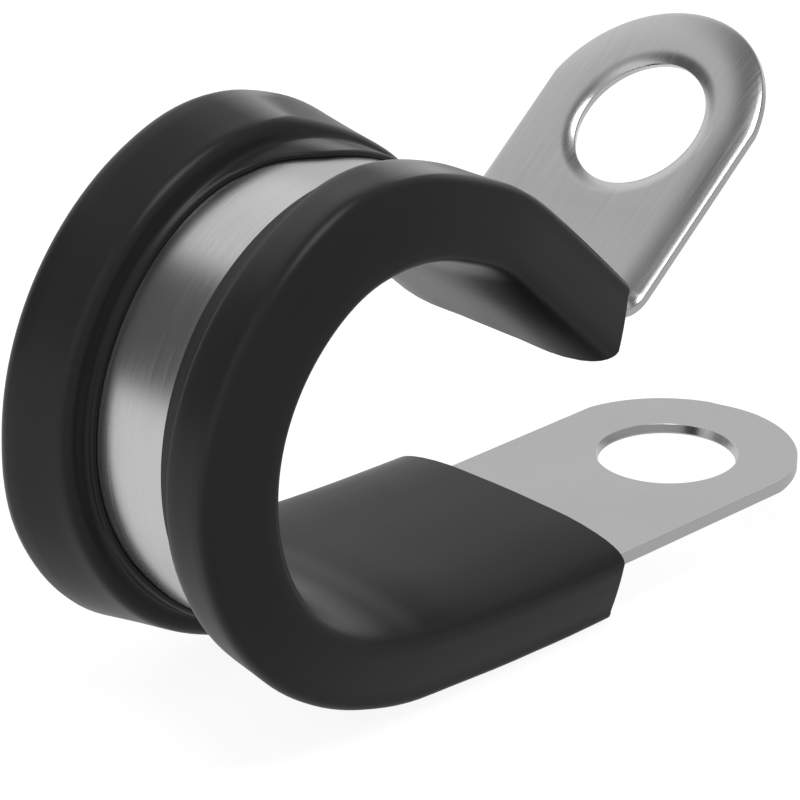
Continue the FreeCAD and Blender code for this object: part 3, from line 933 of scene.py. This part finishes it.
@dataclass
class SteelBand:
    """The bent steel strip with a round-ended, punched tab at each end, in millimetres."""

    node: str = "steel_band"
    half_width: float = 9.9
    shift: float = -0.2
    roll: Pair = (3.2, 0.42)
    roll_steps: int = 10
    roll_until: float = 0.965
    roll_power: float = 2.5
    roll_rise: Guide = Guide(((-60.0, 0.1), (0.0, 1.0)))
    rounding: Corners = ((-0.045, 0.008), (-0.012, 0.045), (0.0, 0.10))
    burr: float = 0.03
    end_wider: float = 0.2
    rear_roll: float = 0.25
    rear_pull: float = 0.5
    rear_until: float = 0.75
    rear_span: float = 1.35
    hole: float = 5.3
    hole_off: float = -0.3
    hole_roll: Pair = (1.3, 0.29)
    lower_end_at: float = 37.0
    lower_hole_at: float = 36.7
    upper_hole_at: float = 12.65
    hole_flare: float = 0.2
    joint: float = 7.5
    lower_steps: tuple[float, ...] = (22.0, 15.0, 8.0)
    upper_step: float = 6.0
    round_steps: int = 48
    flat_angle: float = 24.0
    path: ClipPath = field(default_factory=ClipPath)

    def build(self) -> bpy.types.Object:
        """Model the strip in place of its plain solid.

        Returns:
            The strip.
        """
        sweep = Sweep("steel_strip", self.section(), {"roll": self.roll_rise})
        path = self.path
        lower = path.lower_leg(self.lower_end_at)
        upper = path.upper_tab(self.upper_hole_at)
        sweep.place(path.lower_leg(self.lower_end_at - self.joint))
        for stop in self.way():
            sweep.carry(stop)
        strip = sweep.piece
        way = Vector((1.0, 0.0, 0.0))
        self.finish_tab(sweep, lower, path.lower_leg(self.lower_hole_at), way)
        self.finish_tab(sweep, upper, upper, path.tab_way())
        sweep.close(self.flat_angle)
        strip.data.materials.append(ZincSteel().make())
        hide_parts(self.node)
        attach(strip, "root")
        return strip

    def way(self) -> list[Stop]:
        """List the places from one tab's joint to the other's."""
        path = self.path
        stops = [path.lower_leg(x) for x in self.lower_steps]
        stops += path.round_loop()
        stops += [path.upper_leg(along) for along in (self.upper_step, path.bend_at)]
        stops += path.round_bend()
        stops.append(path.upper_tab(self.upper_hole_at - self.joint))
        return stops

    def side(self, roll: Pair) -> list[Spot]:
        """List the corners of one side, from the outer face to the inner face.

        Args:
            roll: The width and the depth of the rolled edge.

        Returns:
            The corners.
        """
        width, depth = roll
        spots = []
        for i in range(self.roll_steps + 1):
            share = i / self.roll_steps * self.roll_until
            spots.append((width * (share - 1), depth * share**self.roll_power))
        spots += [(over, depth + drop) for over, drop in self.rounding]
        spots.append((0.0, ClipPath.thick - self.burr))
        spots.append((-self.burr, ClipPath.thick))
        return [Spot(self.half_width + over, ClipPath.outer - drop) for over, drop in spots]

    def rolled(self, spot: Spot) -> Spot:
        """Let a rolled corner follow the guide that flattens the roll along the lower leg.

        Args:
            spot: The corner with the full roll.

        Returns:
            The corner that follows the guide.
        """
        drop = ClipPath.outer - spot.out
        if drop > ClipPath.thick / 2:
            return spot
        return Spot(spot.across, ClipPath.outer, (("roll", -drop),))

    def section(self) -> list[Spot]:
        """List the section's corners, once round."""
        right = [self.rolled(spot) for spot in self.side(self.roll)]
        left = [replace(spot, across=-spot.across) for spot in reversed(right)]
        return [replace(spot, across=spot.across + self.shift) for spot in left + right]

    def finish_tab(self, sweep: Sweep, centre: Stop, hole: Stop, way: Vector) -> None:
        """Close a tab with its round end and its hole.

        Args:
            sweep: The strip.
            centre: The place of the round end's centre.
            hole: The place of the hole's centre.
            way: The tab's direction, away from the loop.
        """
        axis = centre.out
        middle = centre.spot(self.shift, ClipPath.outer)
        mesh = sweep.mesh()
        bpy.ops.mesh.select_all(action="DESELECT")
        bpy.context.tool_settings.mesh_select_mode = (False, False, True)
        edge = middle - way * self.joint * MM
        for face in mesh.faces:
            face.select = all(abs((v.co - edge).dot(way)) < NEAR for v in face.verts)
        bpy.ops.mesh.delete(type="ONLY_FACE")
        bpy.context.tool_settings.mesh_select_mode = (False, True, False)
        self.pick_side(sweep, edge, way, (-1.0, 1.0))
        bpy.ops.mesh.extrude_edges_move(
            TRANSFORM_OT_translate={"value": way * self.joint * MM}
        )
        self.pick_side(sweep, middle, way, (1.0,))
        turn = -math.pi if way.cross(Vector((0.0, 1.0, 0.0))).dot(axis) < 0 else math.pi
        bpy.ops.mesh.spin(steps=self.round_steps, angle=turn, center=middle, axis=axis)
        bpy.ops.mesh.select_all(action="SELECT")
        bpy.ops.mesh.remove_doubles(threshold=NEAR)
        self.widen_end(sweep, middle, way, axis)
        self.punch(sweep, hole, way)

    def kept_roll(self, along: float, rearward: float) -> float:
        """Find how much of the rolled edge is left at a place of the upper tab.

        Args:
            along: Its place along the tab, from the round end's centre.
            rearward: Its place to the rear of that centre.

        Returns:
            The share of the roll.
        """
        rear = rearward / max(math.hypot(along, rearward), MM)
        share = float(rear < 0)
        if along > 0:
            share = min(max((self.rear_until - rear) / self.rear_span, 0.0), 1.0)
        return self.rear_roll + (1 - self.rear_roll) * share * share * (3 - 2 * share)

    def widen_end(self, sweep: Sweep, middle: Vector, way: Vector, axis: Vector) -> None:
        """Widen the round end to a slight corner, and flatten the upper tab's roll at the rear.

        Args:
            sweep: The strip.
            middle: The round end's centre on the outer face.
            way: The tab's direction, away from the loop.
            axis: The face's normal.
        """
        sideways = axis.cross(way)
        bpy.context.tool_settings.mesh_select_mode = (True, False, False)
        bpy.ops.mesh.select_all(action="DESELECT")
        for corner in list(sweep.mesh().verts):
            off = corner.co - middle
            along, side, drop = off.dot(way), off.dot(sideways), off.dot(axis)
            if along < -(self.joint + SLACK) * MM:
                continue
            if drop < -ClipPath.thick * MM / 2:
                drop = 0.0
            keep = 1.0
            if axis.z > 0:
                keep = self.kept_roll(along, side * math.copysign(1.0, sideways.y))
            outward = (way * max(along, 0.0) + sideways * side).normalized()
            pull = outward * (self.rear_pull * MM * (1 - keep))
            corner.select = True
            bpy.ops.transform.translate(value=axis * (drop * (keep - 1)) - pull)
            if along >= NEAR:
                reach = math.hypot(along, side)
                grow = (reach + self.end_wider * MM) / reach
                if abs(side) * grow > reach:
                    grow = reach / abs(side)
                spread = (way * along + sideways * side) * (grow - 1)
                bpy.ops.transform.translate(value=spread)
            corner.select = False
        bpy.context.tool_settings.mesh_select_mode = (False, True, False)

    def pick_side(self, sweep: Sweep, at: Vector, way: Vector, signs: tuple[float, ...]) -> None:
        """Select the edges of a side's chain at a place.

        Args:
            sweep: The strip.
            at: A point of the section's plane.
            way: The plane's normal.
            signs: Which sides are wanted.
        """
        bpy.ops.mesh.select_all(action="DESELECT")
        reach = (self.half_width - self.roll[0] - SLACK) * MM
        for edge in sweep.mesh().edges:
            here = all(abs((v.co - at).dot(way)) < NEAR for v in edge.verts)
            on_side = any(
                all((v.co.y - self.shift * MM) * sign > reach for v in edge.verts) for sign in signs
            )
            edge.select = here and on_side

    def punch(self, sweep: Sweep, centre: Stop, way: Vector) -> None:
        """Add a punched hole and fill the tab's two faces round it.

        Args:
            sweep: The strip.
            centre: The place of the hole's centre.
            way: The tab's direction.
        """
        axis = centre.out
        top = centre.spot(self.shift + self.hole_off, ClipPath.outer)
        rings = self.hole_rings()
        steps = self.round_steps * 2
        bpy.ops.mesh.select_all(action="DESELECT")
        bpy.ops.mesh.primitive_circle_add(
            vertices=steps,
            radius=rings[0][0] * MM,
            location=top + axis * rings[0][1] * MM,
            rotation=axis.to_track_quat("Z", "Y").to_euler(),
        )
        for (before, low), (after, high) in zip(rings, rings[1:]):
            bpy.ops.mesh.extrude_edges_move(
                TRANSFORM_OT_translate={"value": axis * (high - low) * MM}
            )
            grow = after / before
            bpy.ops.transform.resize(
                value=(grow, grow, grow), center_override=top + axis * high * MM
            )
        for depth in (0.0, -ClipPath.thick):
            self.fill_face(sweep, top + axis * depth * MM, axis, way)

    def hole_rings(self) -> list[Pair]:
        """List the hole's radii and their heights, from the rolled face to the cut face."""
        rings = [
            (self.hole + self.half_width - spot.across, spot.out - ClipPath.outer)
            for spot in self.side(self.hole_roll)
        ]
        wide = rings[-2][0] + self.hole_flare
        return rings[:-2] + [(wide, rings[-2][1]), (wide + self.burr, rings[-1][1])]

    def fill_face(self, sweep: Sweep, at: Vector, axis: Vector, way: Vector) -> None:
        """Fill one flat face of a tab between its rim and its hole.

        Args:
            sweep: The strip.
            at: The hole's centre on that face.
            axis: The face's normal.
            way: The tab's direction.
        """
        bpy.ops.mesh.select_all(action="DESELECT")
        for edge in sweep.mesh().edges:
            flat = all(abs((v.co - at).dot(axis)) < NEAR for v in edge.verts)
            near = all((v.co - at).dot(way) > -(self.joint + SLACK) * MM for v in edge.verts)
            edge.select = flat and near and len(edge.link_faces) == 1
        bpy.ops.mesh.fill(use_beauty=True)


PAD_ROUND = (
    (80, 14.38), (110, 14.36), (135, 14.23), (155, 14.08), (170, 13.65), (190, 13.05), (199, 12.83),
)

# Measured heights of the liner in millimetres, each at a mark of the path.
HEIGHTS: dict[str, Corners] = {
    "pad_front": (
        (-60, 15.2), (-36, 15.05), (-20, 14.75), (-10, 14.45), (0, 14.12), (10, 13.92), (18, 13.98),
        (35, 14.17), (57, 14.38), *PAD_ROUND, (210, 12.83), (225, 12.93), (243, 13.1), (261, 13.4),
    ),
    "pad_back": (
        (-60, 14.8), (-36, 14.55), (-20, 14.25), (-10, 13.95), (0, 13.68), (10, 13.55), (18, 13.7),
        (35, 14.0), (57, 14.3), *PAD_ROUND, (210, 12.9), (225, 13.12), (243, 13.45), (261, 13.85),
    ),
    "back_crest": (
        (-63, 20.7), (-45, 20.7), (-27, 20.6), (-10, 20.35), (6, 19.95), (14, 19.8), (22, 19.75),
        (30, 19.9), (41, 20.38), (48, 20.6), (58, 20.76), (71, 20.8), (81, 20.6), (89, 20.38),
        (98, 20.25), (114, 20.1), (132, 20.07), (155, 20.22), (167, 20.35), (176, 20.28),
        (184, 20.07), (192, 19.73), (201, 19.42), (208, 19.16), (215, 18.92), (225, 18.68),
        (240, 18.65), (261, 18.75),
    ),
    "front_crest": (
        (-63, 21.05), (-45, 21.08), (-36, 21.0), (-27, 20.93), (-18, 20.78), (-10, 20.62),
        (-1, 20.45), (6, 20.22), (14, 20.0), (22, 19.9), (30, 19.85), (41, 19.82), (55, 19.8),
        (75, 19.86), (98, 19.95), (120, 19.85), (140, 19.8), (155, 19.93), (163, 19.95),
        (170, 19.7), (177, 19.38), (184, 19.05), (191, 18.7), (198, 18.48), (205, 18.45),
        (212, 18.55), (220, 18.65), (230, 18.78), (245, 18.86), (261, 18.86),
    ),
    "back_inner": (
        (-60, 20.5), (-30, 20.3), (0, 19.7), (20, 19.35), (41, 19.45), (58, 19.45), (75, 19.47),
        (98, 19.5), (130, 19.45), (155, 19.5), (172, 19.5), (181, 19.4), (187, 19.2),
        (192, 18.9), (199, 18.6), (206, 18.45), (214, 18.4), (225, 18.5), (261, 18.6),
    ),
    "front_inner": (
        (-60, 20.6), (-30, 20.4), (0, 19.85), (20, 19.4), (40, 19.35), (61, 19.55), (95, 19.85),
        (130, 19.7), (153, 19.66), (165, 19.72), (174, 19.6), (181, 19.3), (188, 18.98),
        (195, 18.7), (205, 18.45), (214, 18.4), (225, 18.5), (261, 18.7),
    ),
    "back_foot": (
        (0, 2.7), (49, 2.8), (60, 3.32), (73, 3.6), (84, 3.66), (104, 3.58), (120, 3.5),
        (150, 3.5), (158, 3.42), (164, 3.28), (169, 2.94), (174, 2.68), (179, 2.16),
        (183, 1.5), (187, 0.9), (195, 0.6), (225, 0.6),
    ),
    "front_foot": ((0, -3.2), (1, -3.2)),
    "crown": (
        (-60, 0.6), (-20, 0.5), (40, 0.2), (150, 0.1), (205, 0.15), (228, 0.35), (245, 0.8),
        (261, 1.0),
    ),
}


@dataclass
class RubberLiner:
    """The moulded channel, in millimetres: crowned pad, tapered sides and two lips."""

    node: str = "rubber_liner"
    lower_end: float = 19.55
    upper_end: float = 11.75
    end_slope: float = 0.158
    bulge: float = 0.34
    seat_half: float = 10.05
    seat_in: float = 16.15
    seat_out: float = 17.25
    pad: Corners = (
        (1.5, -1.43), (3.0, -1.36), (4.5, -1.24), (6.0, -1.08), (7.5, -0.87), (9.0, -0.61),
        (10.0, -0.42), (10.7, -0.26), (11.2, -0.11), (11.52, 0.07), (11.74, 0.32), (11.85, 0.64),
    )
    pad_middle: float = -1.45
    flattened: Guide = Guide(
        ((0.0, 0.24), (3.0, 0.16), (6.0, -0.18), (8.5, -0.36), (10.3, -0.28), (11.5, 0.0))
    )
    flank_shares: tuple[float, ...] = (0.2, 0.4, 0.6, 0.8)
    crest: Corners = (
        (10.56, -0.95), (10.52, -0.66), (10.40, -0.40), (10.17, -0.19), (9.84, -0.05), (9.4, 0.0),
    )
    land_shares: tuple[float, ...] = (0.25, 0.5, 0.75)
    back_lip: Corners = (
        (5.3, 0.0), (4.85, -0.07), (4.5, -0.25), (4.27, -0.55), (4.18, -0.9), (4.12, 18.0),
    )
    front_lip: Corners = (
        (6.65, 0.0), (6.28, -0.07), (5.96, -0.25), (5.74, -0.55), (5.65, -0.9), (5.1, 18.0),
    )
    groove_shares: tuple[float, ...] = (0.33, 0.67)
    crease: Corners = ((0.0, 18.0), (-0.06, 17.84), (-0.16, 17.74), (-0.25, 17.69))
    lip_edge: Corners = ((0.3, 17.64), (0.12, 17.56), (0.04, 17.46), (0.0, 17.34))
    lower_steps: tuple[float, ...] = (0.5, 2.0, 4.0, 6.0, 8.0, 10.0, 12.0, 14.0, 16.0, 18.0)
    upper_steps: tuple[float, ...] = (1.5, 3.0, 4.5, 6.0, 7.5, 9.0, 10.2)
    flat_angle: float = 40.0
    path: ClipPath = field(default_factory=ClipPath)

    def guides(self) -> dict[str, Guide]:
        """Give the guides that the section's corners follow, by name."""
        return {name: Guide(stops) for name, stops in HEIGHTS.items()}

    def half_section(self, side: str, lip: Corners) -> list[Spot]:
        """List one half's corners, from the pad's middle out to the side and in to the groove.

        Args:
            side: The half's name, front or back, as the guides have it.
            lip: The inner edge's corners, below that guide, and the flank's foot.

        Returns:
            The corners.
        """
        other = "front" if side == "back" else "back"
        crest, inner, own = f"{side}_crest", f"{side}_inner", f"pad_{side}"
        (wide, side_out), (narrow, crest_out) = self.pad[-1], self.crest[0]
        spots = []
        for across, out in self.pad:
            share = 0.5 + 0.5 * across / wide
            crown = self.flattened.at(across)
            follows = ((own, share), (f"pad_{other}", 1 - share), ("crown", crown))
            spots.append(Spot(across, out, follows))
        for t in self.flank_shares:
            across = wide - (wide - narrow) * t + self.bulge * t * (1 - t)
            out = side_out * (1 - t) + crest_out * t
            spots.append(Spot(across, out, ((own, 1 - t), (crest, t))))
        spots += [Spot(across, out, ((crest, 1.0),)) for across, out in self.crest]
        land, land_end = self.crest[-1][0], lip[0][0]
        for t in self.land_shares:
            across = land + (land_end - land) * t
            spots.append(Spot(across, 0.0, ((crest, 1 - t), (inner, t))))
        spots += [Spot(across, out, ((inner, 1.0),)) for across, out in lip[:-1]]
        (top, drop), (foot, low) = lip[-2:]
        for t in self.groove_shares:
            across, out = top + (foot - top) * t, drop * (1 - t) + low * t
            spots.append(Spot(across, out, ((inner, 1 - t),)))
        spots += [Spot(foot + over, out) for over, out in self.crease]
        edge = (*self.lip_edge, (0.0, self.seat_out))
        return spots + [Spot(across, out, (), f"{side}_foot") for across, out in edge]

    def section(self) -> list[Spot]:
        """List the section's corners, once round."""
        cavity = [Spot(self.seat_half, out) for out in (self.seat_out, self.seat_in)]
        back = self.half_section("back", self.back_lip) + cavity
        front = self.half_section("front", self.front_lip) + cavity
        mirrored = [replace(spot, across=-spot.across) for spot in reversed(front)]
        crown = self.flattened.at(0.0)
        follows = (("pad_back", 0.5), ("pad_front", 0.5), ("crown", crown))
        return [Spot(0.0, self.pad_middle, follows)] + back + mirrored

    def way(self) -> list[Stop]:
        """List the places after the lower end, up to the one before the upper end."""
        path = self.path
        stops = [path.lower_leg(self.lower_end - step) for step in self.lower_steps]
        stops += path.round_loop()
        stops += [path.upper_leg(along) for along in self.upper_steps]
        return stops

    def build(self) -> bpy.types.Object:
        """Model the rubber in place of its plain solid.

        Returns:
            The rubber.
        """
        sweep = Sweep("rubber_channel", self.section(), self.guides())
        path = self.path
        sweep.place(path.lower_leg(self.lower_end))
        for stop in self.way():
            sweep.carry(stop)
        sweep.carry(path.upper_leg(self.upper_end, self.end_slope))
        sweep.close(self.flat_angle)
        rubber = sweep.piece
        rubber.data.materials.append(BlackRubber().make())
        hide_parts(self.node)
        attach(rubber, "root")
        return rubber


def main() -> None:
    """Build the studio and dress the clip."""
    logging.basicConfig(level=logging.INFO, format="%(message)s")
    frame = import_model()
    log.info("dressing %d nodes", len(frame["nodes"]))
    PhotoCamera().build()
    for piece in (SteelBand(), RubberLiner()):
        log.info("built %s", piece.build().name)
    Studio().build()


if __name__ == "__main__":
    main()
